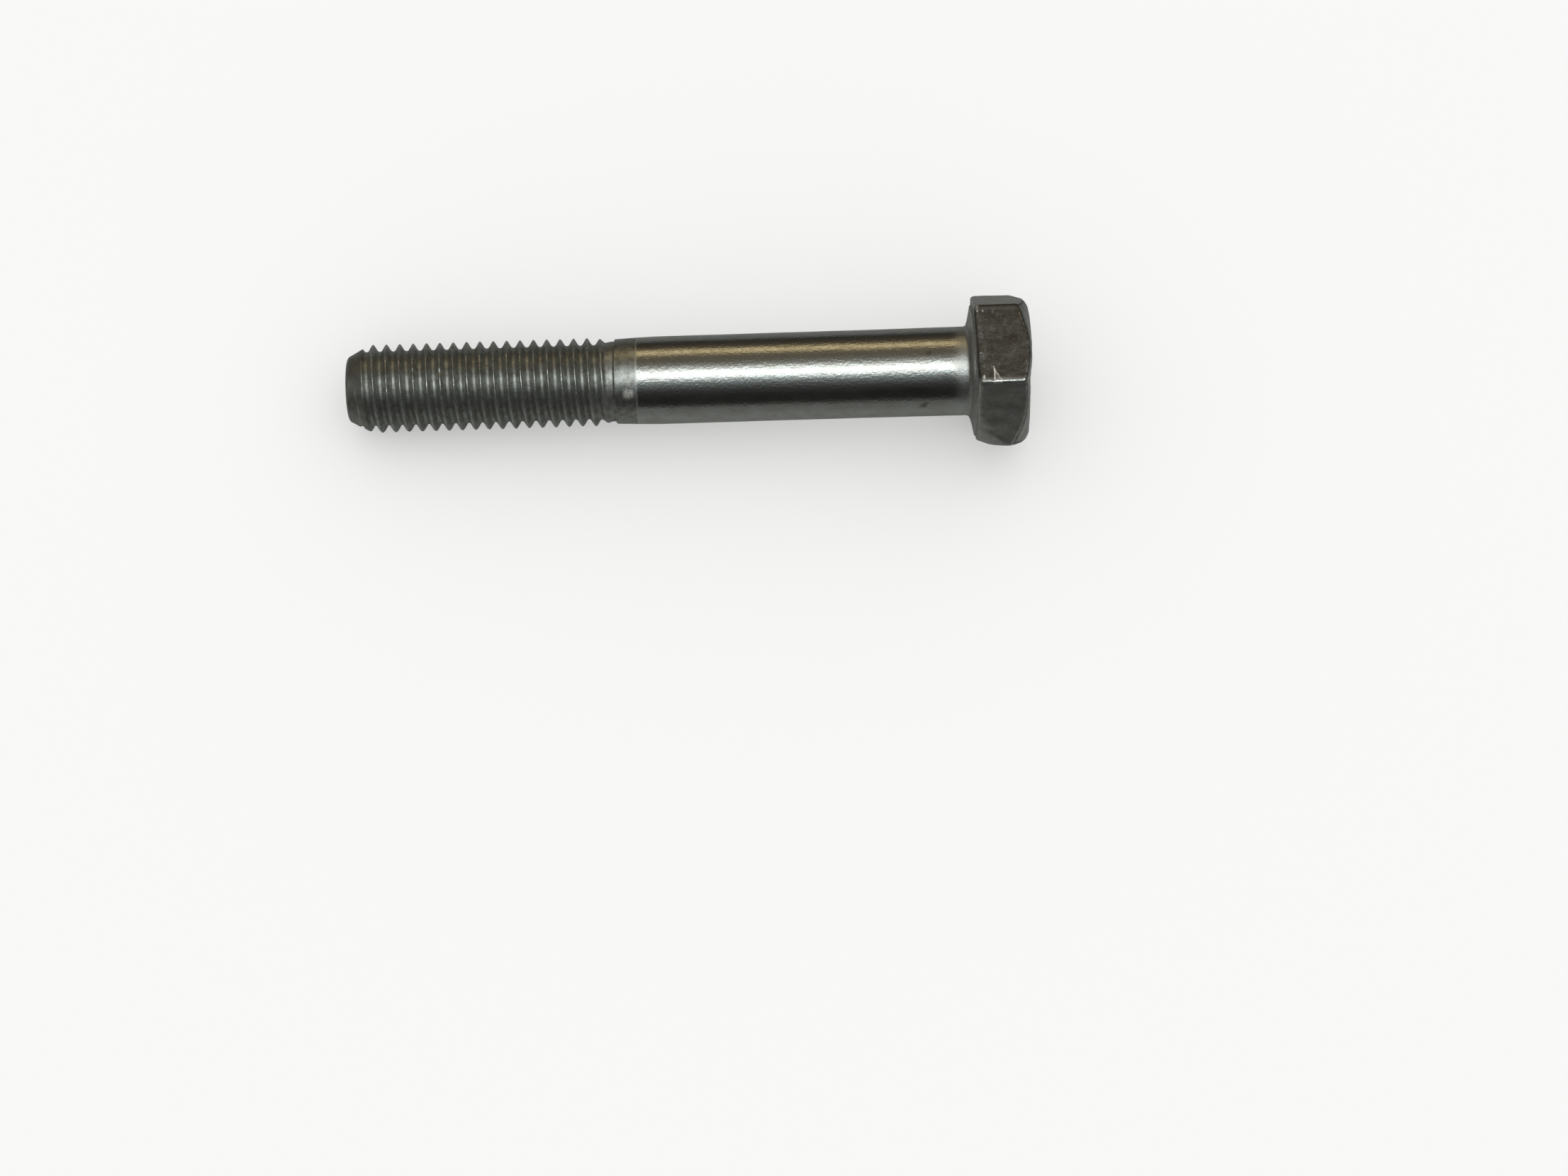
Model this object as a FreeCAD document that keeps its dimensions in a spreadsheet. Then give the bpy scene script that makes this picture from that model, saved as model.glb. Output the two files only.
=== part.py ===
# Hex bolt M10 x 70 with a partly threaded shank, zinc-plated steel.
# A hex bolt is one forged piece: its head, plain shank and rolled thread are one solid.
# Frame: the bolt's axis lies along X, with the head at +X and the tip at -X. The origin is the
# centre of the bearing face under the head, and one flat of the head faces down, so the bolt
# lies as it does on a table.
import os
import FreeCAD, Part
import Sketcher

# alias: (value, meaning); lengths in mm, angles in degrees
DIMENSIONS = {
    "bolt_length": (70.0, "bearing face to tip"),
    "shank_dia": (9.85, "plain shank"),
    "thread_major_dia": (9.94, "over the crests of the thread"),
    "thread_pitch": (1.5, "coarse pitch for this size"),
    "thread_depth": (0.92, "crest to root, 0.613 of the pitch"),
    "flank_angle": (30.0, "thread flank to the plane across the axis"),
    "root_width": (0.25, "flat at the bottom of the thread"),
    "cutter_overlap": (0.15, "how far the groove profile stands out of the crests"),
    "crest_taper_start": (43.2, "bearing face to the last full crest"),
    "groove_end": (40.95, "bearing face to the middle of the groove where it stops"),
    "thread_trace_end": (40.0, "bearing face to the neck, where the crests are gone"),
    "neck_dia": (9.43, "blank where the thread dies out"),
    "neck_cone_end": (37.9, "bearing face to the large end of the neck cone"),
    "neck_cone_dia": (9.65, "large end of the neck cone"),
    "plain_shank_end": (34.1, "bearing face to where the shank starts to taper"),
    "tip_dia": (7.2, "flat end of the tip"),
    "tip_half_angle": (28.0, "cone of the tip to the axis"),
    "tip_edge_radius": (0.4, "rounding between the flat end and the cone"),
    "head_fillet": (0.8, "between the shank and the bearing face"),
    "across_flats": (15.85, "fits a 16 mm spanner"),
    "head_height": (6.3, "bearing face to the top of the head"),
    "corner_radius": (0.4, "rounding of the six long corners of the head"),
    "washer_face_dia": (14.6, "raised ring under the head"),
    "washer_face_height": (0.2, "step of the raised ring"),
    "chamfer_dia": (14.9, "flat circle on top of the head"),
    "chamfer_angle": (30.0, "top chamfer to the plane across the axis"),
    "underside_dia": (17.2, "where the bevel of the lower corners starts"),
    "underside_angle": (35.0, "lower bevel to the plane across the axis"),
    "bevel_reach": (1.0, "how far the bevel cutters stand out of the corners"),
}


def fill_sheet(doc):
    sheet = doc.addObject("Spreadsheet::Sheet", "Dimensions")
    for row, (alias, (value, meaning)) in enumerate(DIMENSIONS.items(), start=1):
        sheet.set("A%d" % row, meaning)
        sheet.set("B%d" % row, str(value))
        sheet.setAlias("B%d" % row, alias)
    doc.recompute()


def cell(text):
    """Turn {alias} in a formula into a reference to that cell of the sheet."""
    for alias in DIMENSIONS:
        text = text.replace("{%s}" % alias, "Dimensions.%s" % alias)
    return text


def evaluate(text):
    """Work the same formula out now, so a sketch is drawn close to its final shape."""
    return FreeCAD.ActiveDocument.Dimensions.evalExpression(cell(text))


def plane_of(body, role):
    return next(item for item in body.Origin.OriginFeatures if item.Role == role)


def new_sketch(body, name, role):
    sketch = body.newObject("Sketcher::SketchObject", name)
    sketch.AttachmentSupport = [(plane_of(body, role), "")]
    sketch.MapMode = "FlatFace"
    return sketch


def place_point(sketch, index, corner):
    """Fix the start of line number index at the pair of formulas in corner."""
    for kind, formula in zip(("DistanceX", "DistanceY"), corner):
        if formula == "0":
            axis = -2 if kind == "DistanceX" else -1
            sketch.addConstraint(Sketcher.Constraint("PointOnObject", index, 1, axis))
            continue
        value = float(evaluate(formula))
        number = sketch.addConstraint(Sketcher.Constraint(kind, -1, 1, index, 1, value))
        sketch.setExpression("Constraints[%d]" % number, cell(formula))


def draw_outline(body, name, role, corners):
    """Draw a closed outline through corners, each a pair of formulas (along, out)."""
    sketch = new_sketch(body, name, role)
    points = [FreeCAD.Vector(float(evaluate(a)), float(evaluate(b)), 0) for a, b in corners]
    for index, start in enumerate(points):
        sketch.addGeometry(Part.LineSegment(start, points[(index + 1) % len(points)]), False)
    for index, corner in enumerate(corners):
        following = (index + 1) % len(corners)
        sketch.addConstraint(Sketcher.Constraint("Coincident", index, 2, following, 1))
        place_point(sketch, index, corner)
    return sketch


def turned(body, kind, name, sketch):
    feature = body.newObject(kind, name)
    feature.Profile = sketch
    feature.ReferenceAxis = (sketch, ["H_Axis"])
    feature.Angle = 360.0
    sketch.Visibility = False
    body.Document.recompute()
    return feature


def rounded(body, name, base, edge_test, radius_alias):
    names = ["Edge%d" % number for number, edge in enumerate(base.Shape.Edges, start=1) if edge_test(edge)]
    fillet = body.newObject("PartDesign::Fillet", name)
    fillet.Base = (base, names)
    fillet.setExpression("Radius", "Dimensions." + radius_alias)
    body.Document.recompute()
    return fillet


def circle_at(along, radius):
    """Test for the full circle about the axis at this place along it."""
    def test(edge):
        curve = edge.Curve
        return (isinstance(curve, Part.Circle) and abs(curve.Center.x - along) < 1e-4
                and abs(curve.Radius - radius) < 1e-4)
    return test


def along_axis(edge):
    """Test for the head's long corners, the only straight edges parallel to the axis out there."""
    direction = edge.tangentAt(edge.FirstParameter)
    middle = edge.CenterOfMass
    return (isinstance(edge.Curve, Part.Line) and abs(abs(direction.x) - 1) < 1e-6
            and middle.x > 0 and (middle.y ** 2 + middle.z ** 2) ** 0.5 > evaluate("{across_flats} / 2"))


def add_blank(body):
    # the turned blank: tip, thread cylinder, neck, plain shank and washer face
    crest = "{thread_major_dia} / 2"
    corners = [
        ("-{bolt_length}", "0"),
        ("-{bolt_length}", "{tip_dia} / 2"),
        ("-{bolt_length} + ({thread_major_dia} - {tip_dia}) / 2 / tan({tip_half_angle} * 1 deg)", crest),
        ("-{crest_taper_start}", crest),
        ("-{thread_trace_end}", "{neck_dia} / 2"),
        ("-{neck_cone_end}", "{neck_cone_dia} / 2"),
        ("-{plain_shank_end}", "{shank_dia} / 2"),
        ("0", "{shank_dia} / 2"),
        ("0", "{washer_face_dia} / 2"),
        ("{washer_face_height}", "{washer_face_dia} / 2"),
        ("{washer_face_height}", "0"),
    ]
    sketch = draw_outline(body, "BlankProfile", "XY_Plane", corners)
    blank = turned(body, "PartDesign::Revolution", "Blank", sketch)
    fillet = rounded(body, "HeadFillet", blank, circle_at(0.0, evaluate("{shank_dia} / 2")), "head_fillet")
    tip = circle_at(-evaluate("{bolt_length}"), evaluate("{tip_dia} / 2"))
    return rounded(body, "TipRounding", fillet, tip, "tip_edge_radius")


def add_head(body):
    # a hexagon with a flat facing down, padded from the washer face to the top
    sketch = new_sketch(body, "HeadHexagon", "YZ_Plane")
    sketch.setExpression("AttachmentOffset.Base.z", "Dimensions.washer_face_height")
    outer = evaluate("{across_flats} / sqrt(3)")
    turns = [FreeCAD.Rotation(FreeCAD.Vector(0, 0, 1), 60 * step) for step in range(6)]
    points = [turn.multVec(FreeCAD.Vector(outer, 0, 0)) for turn in turns]
    for index, start in enumerate(points):
        sketch.addGeometry(Part.LineSegment(start, points[(index + 1) % 6]), False)
    ring = sketch.addGeometry(Part.Circle(FreeCAD.Vector(0, 0, 0), FreeCAD.Vector(0, 0, 1), outer), True)
    sketch.addConstraint(Sketcher.Constraint("Coincident", ring, 3, -1, 1))
    for index in range(6):
        sketch.addConstraint(Sketcher.Constraint("Coincident", index, 2, (index + 1) % 6, 1))
        sketch.addConstraint(Sketcher.Constraint("PointOnObject", index, 1, ring))
    for index in range(1, 6):
        sketch.addConstraint(Sketcher.Constraint("Equal", 0, index))
    sketch.addConstraint(Sketcher.Constraint("PointOnObject", 0, 1, -1))
    size = sketch.addConstraint(Sketcher.Constraint("Radius", ring, outer))
    sketch.setExpression("Constraints[%d]" % size, cell("{across_flats} / sqrt(3)"))
    pad = body.newObject("PartDesign::Pad", "Head")
    pad.Profile = sketch
    pad.setExpression("Length", cell("{head_height} - {washer_face_height}"))
    body.Document.recompute()
    return rounded(body, "HeadCorners", pad, along_axis, "corner_radius")


def add_bevels(body):
    # the turned chamfer round the top of the head and the softer bevel of its lower corners
    reach = "{across_flats} / sqrt(3) + {bevel_reach}"
    top = "{head_height} - (%s - {chamfer_dia} / 2) * tan({chamfer_angle} * 1 deg)" % reach
    sketch = draw_outline(body, "ChamferProfile", "XY_Plane", [
        ("{head_height}", "{chamfer_dia} / 2"), ("{head_height}", reach), (top, reach)])
    turned(body, "PartDesign::Groove", "TopChamfer", sketch)
    low = "{washer_face_height} + (%s - {underside_dia} / 2) * tan({underside_angle} * 1 deg)" % reach
    sketch = draw_outline(body, "UndersideProfile", "XY_Plane", [
        ("{washer_face_height}", "{underside_dia} / 2"), (low, reach), ("{washer_face_height}", reach)])
    return turned(body, "PartDesign::Groove", "LowerBevel", sketch)


def add_thread(body):
    # one groove profile where the groove ends at the neck, swept round the axis to past the tip
    root = "{thread_major_dia} / 2 - {thread_depth}"
    outside = "{thread_major_dia} / 2 + {cutter_overlap}"
    half_mouth = "({root_width} / 2 + ({thread_depth} + {cutter_overlap}) * tan({flank_angle} * 1 deg))"
    sketch = draw_outline(body, "ThreadProfile", "XY_Plane", [
        ("-{groove_end} - {root_width} / 2", root),
        ("-{groove_end} - %s" % half_mouth, outside),
        ("-{groove_end} + %s" % half_mouth, outside),
        ("-{groove_end} + {root_width} / 2", root),
    ])
    helix = body.newObject("PartDesign::SubtractiveHelix", "Thread")
    helix.Profile = sketch
    helix.ReferenceAxis = (sketch, ["H_Axis"])
    helix.Mode = 0
    helix.LeftHanded = False
    helix.Reversed = True
    helix.setExpression("Pitch", cell("{thread_pitch}"))
    helix.setExpression("Height", cell("{bolt_length} - {groove_end} + {thread_pitch}"))
    sketch.Visibility = False
    body.Document.recompute()


def make_bolt(doc):
    body = doc.addObject("PartDesign::Body", "HexBolt")
    body.Label = "hex_bolt"
    doc.recompute()
    add_blank(body)
    add_head(body)
    before_bevels = body.Shape.Volume
    add_bevels(body)
    before_thread = body.Shape.Volume
    add_thread(body)
    print("volume before the bevels %.2f, before the thread %.2f, now %.2f mm3"
          % (before_bevels, before_thread, body.Shape.Volume))
    body.Placement = FreeCAD.Placement(FreeCAD.Vector(0, 0, 0), FreeCAD.Rotation())
    return body


def check_document(doc, bodies):
    for item in doc.Objects:
        if {"Invalid", "Error"} & set(item.State):
            raise RuntimeError("%s did not compute: %s" % (item.Label, item.State))
    for body in bodies:
        if body.Shape.isNull() or not body.Shape.isValid() or len(body.Shape.Solids) != 1:
            raise RuntimeError("%s is not one valid solid" % body.Label)


def main():
    doc = FreeCAD.newDocument("HexBolt")
    fill_sheet(doc)
    bodies = [make_bolt(doc)]
    doc.recompute()
    check_document(doc, bodies)
    os.makedirs("parts", exist_ok=True)
    for body in bodies:
        body.Shape.exportStep("parts/%s.step" % body.Label)
        print(body.Label, body.Shape.BoundBox)


main()
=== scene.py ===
import math
import bpy
import bmesh
import numpy as np
from mathutils import Matrix, Vector


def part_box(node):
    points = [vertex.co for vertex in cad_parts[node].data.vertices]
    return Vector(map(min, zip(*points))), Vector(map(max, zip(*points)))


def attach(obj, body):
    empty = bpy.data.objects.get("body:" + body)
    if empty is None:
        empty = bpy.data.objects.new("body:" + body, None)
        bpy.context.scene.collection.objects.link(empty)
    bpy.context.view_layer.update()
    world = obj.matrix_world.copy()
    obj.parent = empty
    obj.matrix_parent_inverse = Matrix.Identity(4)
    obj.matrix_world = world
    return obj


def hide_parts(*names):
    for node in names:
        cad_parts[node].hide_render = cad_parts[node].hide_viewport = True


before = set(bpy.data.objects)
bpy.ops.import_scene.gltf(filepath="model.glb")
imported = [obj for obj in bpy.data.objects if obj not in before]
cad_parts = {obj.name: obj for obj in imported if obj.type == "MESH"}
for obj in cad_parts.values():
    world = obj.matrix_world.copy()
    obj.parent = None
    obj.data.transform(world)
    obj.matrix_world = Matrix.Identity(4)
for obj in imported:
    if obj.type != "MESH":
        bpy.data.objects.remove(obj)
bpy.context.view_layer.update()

mm = 0.001  # the dictionaries below are in millimetres and degrees, the scene is in metres

low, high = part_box("hex_bolt")
tipEnd = low[0] / mm  # flat end of the tip
headTop = high[0] / mm
flatRadius = -low[2] / mm  # axis to the flat that faces down

rng = np.random.default_rng(1070)

view = {
    "lens": 94.4,
    "sensorWidth": 36.0,
    "elevation": 70.98,
    "azimuth": 3.30,
    "roll": -4.82,
    "distance": 460.2,  # along the view, to the centre of the bearing face
    "placeAcross": 0.6204,  # where that centre stands in the picture, from the left
    "placeDown": 0.3151,  # and from the top
    "pictureShape": 4 / 3,
}


def makeCamera():
    data = bpy.data.cameras.new("viewCamera")
    data.sensor_width = view["sensorWidth"]
    data.lens = view["lens"]
    camera = bpy.data.objects.new("viewCamera", data)
    bpy.context.scene.collection.objects.link(camera)
    up, turn, roll = (math.radians(view[name]) for name in ("elevation", "azimuth", "roll"))
    back = Vector((math.sin(turn) * math.cos(up), -math.cos(turn) * math.cos(up), math.sin(up)))
    right = Vector((0, 0, 1)).cross(back).normalized()
    top = back.cross(right)
    right, top = (math.cos(roll) * right + math.sin(roll) * top,
                  math.cos(roll) * top - math.sin(roll) * right)
    depth = view["distance"] * mm
    wide = depth * data.sensor_width / data.lens  # what the picture takes in at that depth
    tall = wide / view["pictureShape"]
    eye = (back * depth - right * wide * (view["placeAcross"] - 0.5)
           + top * tall * (view["placeDown"] - 0.5))
    turned = Matrix((right, top, back)).transposed().to_4x4()
    camera.matrix_world = Matrix.Translation(eye) @ turned
    bpy.context.scene.camera = camera
    print("camera: %.0f mm from the head, %.0f degrees up" % (view["distance"], view["elevation"]))


# every row of the mesh is one loop round the bolt: its place along the axis, its radius and its masks
# angles go round from the front (-Y), over the top (90) to the back (180)
# an uneven pattern is its depth, the length of its waves and its number

mesh = {
    "stepAround": 2.0,  # degrees between columns
    "cornerColumns": (0.35, 0.7, 1.05, 1.4, 1.8),  # extra columns each side of a head corner
    "fineColumns": ((55.2, 58.0, 0.4), (60.0, 74.0, 0.7)),  # from, to and step, where small marks lie
    "waves": 14,  # in each uneven pattern
    "weld": 2e-7,  # metres: closer points become one
}


def columnAngles():
    angles = set(np.round(np.arange(0.0, 360.0, mesh["stepAround"]), 3))
    for corner in range(0, 360, 60):
        for step in mesh["cornerColumns"]:
            angles.add(round((corner + step) % 360, 3))
            angles.add(round((corner - step) % 360, 3))
    for start, end, step in mesh["fineColumns"]:
        for angle in np.arange(start, end, step):
            angles.add(round(float(angle), 3))
    return np.array(sorted(angles) + [360.0])


around = columnAngles()
aroundRad = np.radians(around)


def ramp(share, softness):
    # 0 below 0, 1 above 1, with rounded corners
    return (np.logaddexp(0, softness * share) - np.logaddexp(0, softness * (share - 1))) / softness


def smooth(value, start, end):
    share = np.clip((value - start) / (end - start), 0.0, 1.0)
    return share * share * (3 - 2 * share)


def bell(value, middle, width):
    return np.exp(-((value - middle) / width) ** 2)


def turnFrom(angle):
    # degrees from that angle to each column, -180 to 180
    return (around - angle + 180.0) % 360.0 - 180.0


def uneven(pattern, along, radius):
    # gentle seamless unevenness from waves in random directions
    depth, size, seed = pattern
    source = np.random.default_rng(seed)
    directions = source.normal(size=(mesh["waves"], 3))
    directions /= np.linalg.norm(directions, axis=1)[:, None]
    lengths = size * source.uniform(0.7, 1.6, mesh["waves"])
    phases = source.uniform(0, 2 * math.pi, mesh["waves"])
    across, up = -radius * np.cos(aroundRad), radius * np.sin(aroundRad)
    total = np.zeros(np.broadcast(along, across).shape)
    for direction, length, phase in zip(directions, lengths, phases):
        run = direction[0] * along + direction[1] * across + direction[2] * up
        total += np.sin(2 * math.pi * run / length + phase)
    return depth * (total / math.sqrt(mesh["waves"]))


def spotMask(along, spots):
    # painted spots: along, angle, size along, size in degrees, strength
    total = np.zeros(around.shape)
    for place, angle, length, spread, strength in spots:
        turn = turnFrom(angle)
        total = total + strength * np.exp(-((along - place) / length) ** 4 - (turn / spread) ** 2)
    return np.clip(total, 0, 1)


class Rows:
    # the growing list of rows, with one value per column in each list
    def __init__(self):
        self.along, self.radius, self.skin = [], [], []
        # one of these masks darkens real stains and also paints shade into the hollows
        self.masks = {"wear": [], "hollow": [], "dull": [], "scale": [], "torn": []}

    def add(self, along, radius, wear=0.0, hollow=0.0, dull=0.0, scale=0.0, torn=0.0, skin=0):
        given = {"wear": wear, "hollow": hollow, "dull": dull, "scale": scale, "torn": torn}
        pairs = [(self.along, along), (self.radius, radius)]
        pairs += [(self.masks[name], value) for name, value in given.items()]
        for store, value in pairs:
            store.append(np.broadcast_to(np.asarray(value, float), around.shape).copy())
        self.skin.append(skin)


skins = {"thread": 0, "shank": 1, "head": 2}


tip = {
    "endRadius": 3.55,
    "edgeRadius": 0.55,
    "halfAngle": 28.0,
    "endDish": 0.12,  # the sheared end is slightly hollow
    "endShares": (0.0, 0.12, 0.25, 0.4, 0.55, 0.7, 0.82, 0.92),
    "edgeRows": 7,
    "endUneven": (0.03, 1.6, 3),
    "edgeUneven": (0.03, 3.0, 4),
    "coneUneven": (0.03, 2.0, 5),
    "coneMiddle": 4.4,
    "endLook": {"wear": 0.1, "dull": 0.7, "scale": 0.5},
    "edgeLook": {"wear": 0.4, "dull": 0.3, "scale": 0.6},
    "coneWear": 0.15,
    "coneScale": 0.6,
}


def tipSurface(along):
    slope = math.tan(math.radians(tip["halfAngle"]))
    return tip["endRadius"] + (along - tipEnd) * slope


def addTip(rows):
    for share in tip["endShares"]:
        inner = (tip["endRadius"] - tip["edgeRadius"]) * share
        dish = tip["endDish"] * (1 - share ** 2)
        rough = uneven(tip["endUneven"], tipEnd, inner) * share
        rows.add(tipEnd + dish + rough, inner, skin=skins["thread"], **tip["endLook"])
    # the edge rolls over from the flat end to the cone
    turn = 90.0 - tip["halfAngle"]
    centre = tip["endRadius"] - tip["edgeRadius"] * math.tan(math.radians(turn / 2))
    for share in np.linspace(0, 1, tip["edgeRows"]):
        angle = math.radians(turn * share)
        along = tipEnd + tip["edgeRadius"] * (1 - math.cos(angle))
        radius = centre + tip["edgeRadius"] * math.sin(angle)
        rough = uneven(tip["edgeUneven"], along, radius) * share
        rows.add(along, radius + rough, skin=skins["thread"], **tip["edgeLook"])
    return along


thread = {
    "pitch": 1.5,
    "crestRadius": 4.97,
    "depth": 0.84,
    "crestAtBack": -41.70,  # place of one crest where it passes the back of the bolt
    "crestHalf": 0.05,  # half the crest's flat, as a share of the pitch
    "rootHalf": 0.135,
    "cornerSoftness": 8.0,
    "fadeStart": -42.4,  # the crests sink from here to the blank
    "fadeEnd": -40.15,
    "blankRadius": 4.47,
    "rowShares": (0.0, 0.028, 0.048, 0.066, 0.09, 0.14, 0.19, 0.24, 0.285, 0.325, 0.37, 0.42, 0.46),
    "uneven": (0.012, 3.0, 6),
    "rubbed": (0.04, 0.085),  # the rubbed crest ends between these shares of the pitch
    "rootShade": (0.25, 0.5),  # and the painted shade in the root starts between these
    "nicks": 90,
    "nicksFrom": 2.0,  # past the end of the tip
    "nickSize": (0.16, 0.42),
    "nickDepth": 0.16,
}


def crestShare(along):
    # distance from the nearest crest, 0 on it and 0.5 in the root
    place = (along - thread["crestAtBack"] + thread["pitch"] * (around - 180.0) / 360.0) / thread["pitch"]
    return np.abs(place - np.round(place))


def threadSurface(along):
    share = crestShare(along)
    width = 0.5 - thread["crestHalf"] - thread["rootHalf"]
    sunk = ramp((share - thread["crestHalf"]) / width, thread["cornerSoftness"])
    radius = thread["crestRadius"] - thread["depth"] * sunk
    lift = 1 - smooth(along, thread["fadeStart"], thread["fadeEnd"])
    radius = thread["blankRadius"] + (radius - thread["blankRadius"]) * lift
    cone = tipSurface(along) + uneven(tip["coneUneven"], along, tip["coneMiddle"])
    return np.minimum(radius, cone), share, sunk, lift, radius > cone


def makeNicks():
    # small knocks on the crests: place along, angle, size and depth
    found = []
    for _ in range(thread["nicks"]):
        place = rng.uniform(tipEnd + thread["nicksFrom"], thread["fadeStart"])
        angle = rng.uniform(0, 360)
        size = rng.uniform(*thread["nickSize"])
        found.append((place, angle, size, rng.uniform(0.3, 1.0) * thread["nickDepth"]))
    return found


def nicked(along, radius, nicks):
    # how much the nicks push the surface in, at each point
    across, up = -radius * np.cos(aroundRad), radius * np.sin(aroundRad)
    reach = thread["crestRadius"]
    total = np.zeros(np.shape(radius))
    for place, angle, size, depth in nicks:
        turn = math.radians(angle)
        gap = ((along - place) ** 2 + (across + reach * math.cos(turn)) ** 2
               + (up - reach * math.sin(turn)) ** 2)
        total += depth * np.exp(-gap / size ** 2)
    return total


neck = {
    "shoulder": (-40.12, -39.92),  # step from the thread's blank to the neck
    "startRadius": 4.73,
    "coneEnd": -37.6,
    "coneRadius": 4.835,
}


def neckSurface(along):
    start, end = neck["shoulder"]
    cone = np.interp(along, (end, neck["coneEnd"]), (neck["startRadius"], neck["coneRadius"]))
    return thread["blankRadius"] + (cone - thread["blankRadius"]) * smooth(along, start, end)


shankMarks = {
    # along, angle, size along, size in degrees, strength
    "scratches": ((-7.0, 56.6, 1.5, 0.45, 0.9), (-30.2, 131.0, 0.9, 0.9, 0.5),
                  (-16.0, 205.0, 2.4, 0.8, 0.7), (-24.0, 303.0, 3.0, 0.7, 0.6)),
    "torn": ((-38.4, 51.0, 0.85, 11.0, 0.66), (-38.9, 250.0, 0.7, 9.0, 0.5)),
    "stains": ((-5.7, 19.0, 0.35, 4.0, 1.0), (-5.3, 24.0, 0.18, 3.0, 0.8), (-4.9, 93.0, 0.30, 3.0, 0.9),
               (-6.6, 45.0, 1.4, 3.0, 0.6), (-10.5, 44.0, 1.1, 2.0, 0.4), (-3.1, 60.0, 0.5, 5.0, 0.3),
               (-29.0, 260.0, 1.2, 6.0, 0.7), (-12.0, 228.0, 0.6, 4.0, 0.6),
               (-21.0, 330.0, 0.8, 5.0, 0.5)),
}


def addThread(rows, startAlong):
    pitch, crestAtBack, endAlong = thread["pitch"], thread["crestAtBack"], neck["coneEnd"]
    shares = list(thread["rowShares"]) + [0.5] + [1 - share for share in thread["rowShares"][:0:-1]]
    nicks = makeNicks()
    firstTurn = math.floor((startAlong - crestAtBack) / pitch) - 1
    lastTurn = math.ceil((endAlong - crestAtBack) / pitch) + 1
    for turn in range(firstTurn, lastTurn + 1):
        for share in shares:
            # the rows follow the helix, and are cut off square at both ends
            line = crestAtBack + (turn + share) * pitch - pitch * (around - 180.0) / 360.0
            along = np.clip(line, startAlong, endAlong)
            radius, fromCrest, sunk, lift, onCone = threadSurface(along)
            onNeck = along > neck["shoulder"][0]
            radius = np.maximum(radius, np.where(onNeck, neckSurface(along), 0.0))
            radius = radius + uneven(thread["uneven"], along, radius) * (1 - sunk)
            radius = radius - nicked(along, radius, nicks) * (1 - sunk)
            crest = (1 - smooth(fromCrest, *thread["rubbed"])) * lift
            crest = np.where(onCone, tip["coneWear"], crest)
            # the roots are painted darker: a painted shade in the thread's hollows
            rows.add(along, radius, skin=skins["thread"],
                     wear=np.where(onNeck, spotMask(along, shankMarks["scratches"]), crest),
                     hollow=np.where(onNeck, 0.0, smooth(fromCrest, *thread["rootShade"])) * lift,
                     dull=np.where(onNeck, 1.0, 0.0),
                     scale=np.where(onCone, tip["coneScale"], 0.0),
                     torn=np.where(onNeck, spotMask(along, shankMarks["torn"]), 0.0))


shank = {
    "radius": 4.915,
    "taperEnd": -34.1,  # it is thinner from here to the neck
    "swell": 0.045,  # it thickens a little towards the head
    "swellAlong": (-14.0, -1.0),
    "firstRow": 0.06,  # past the neck
    "rowStep": 0.3,
    "uneven": (0.006, 7.0, 7),
    "dullAtNeck": 0.25,  # length of the dull border at the neck
    "dullToHead": (-3.0, -1.1),  # it gets duller between these, before the head
    "dullAtHead": 0.7,
    "filletFoot": -0.98,
    "filletAlong": 0.50,
    "filletAcross": 0.46,
    "filletTurn": 80,  # degrees of the round under the head
    "filletRows": 11,
    # painted shade: the round gets darker towards the head
    "filletShade": 0.4,
}


def shankSurface(along):
    taper = np.clip((along - neck["coneEnd"]) / (shank["taperEnd"] - neck["coneEnd"]), 0, 1)
    body = neck["coneRadius"] + (shank["radius"] - neck["coneRadius"]) * (1 - (1 - taper) ** 2)
    return body + shank["swell"] * smooth(along, *shank["swellAlong"])


def addShank(rows):
    start, end = neck["coneEnd"], shank["filletFoot"]
    for along in np.arange(start + shank["firstRow"], end, shank["rowStep"]):
        radius = shankSurface(along) + uneven(shank["uneven"], along, shank["radius"])
        dull = (1 - smooth(along, start, start + shank["dullAtNeck"])
                + shank["dullAtHead"] * smooth(along, *shank["dullToHead"]))
        wear, stain = spotMask(along, shankMarks["scratches"]), spotMask(along, shankMarks["stains"])
        rows.add(along, radius, wear, hollow=stain, dull=dull + 0.5 * stain, skin=skins["shank"])
    foot = shankSurface(end)
    for share in np.linspace(0, 1, shank["filletRows"]):
        angle = math.radians(shank["filletTurn"] * share)
        along = end + shank["filletAlong"] * math.sin(angle) + share ** 0.8 * undersideShift()
        radius = foot + shank["filletAcross"] * (1 - math.cos(angle))
        # painted shade, darker up the round towards the head
        rows.add(along, radius, hollow=shank["filletShade"] * share,
                 dull=max(shank["dullAtHead"], share), skin=skins["shank"])
    return along, radius


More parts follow.
